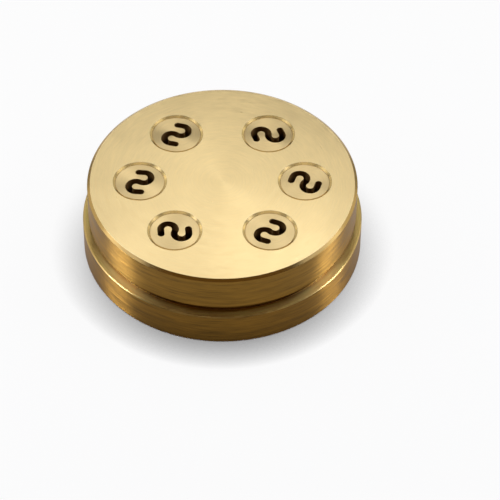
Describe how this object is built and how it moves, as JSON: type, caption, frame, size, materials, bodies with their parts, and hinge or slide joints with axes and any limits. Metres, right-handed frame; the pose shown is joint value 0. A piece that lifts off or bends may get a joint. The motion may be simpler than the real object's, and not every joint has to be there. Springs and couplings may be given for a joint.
{
  "type": "pasta extrusion die",
  "caption": "Round flanged brass die with slotted inserts, clamped on a pasta extruder to shape dough into short curled pasta.",
  "frame": {"origin": "centre of the back face, where the die stands on its flange", "axes": "+Z along the die's axis, the way the dough leaves; +X towards the insert_right node"},
  "size_m": [0.078, 0.078, 0.0228],
  "materials": {
    "turned_brass": "satin, fine turned",
    "insert_brass": "satin, fine turned"
  },
  "bodies": {
    "root": {"die_body": "turned_brass", "insert_right": "insert_brass", "insert_back_right": "insert_brass", "insert_back_left": "insert_brass", "insert_left": "insert_brass", "insert_front_left": "insert_brass", "insert_front_right": "insert_brass"}
  },
  "joints": []
}
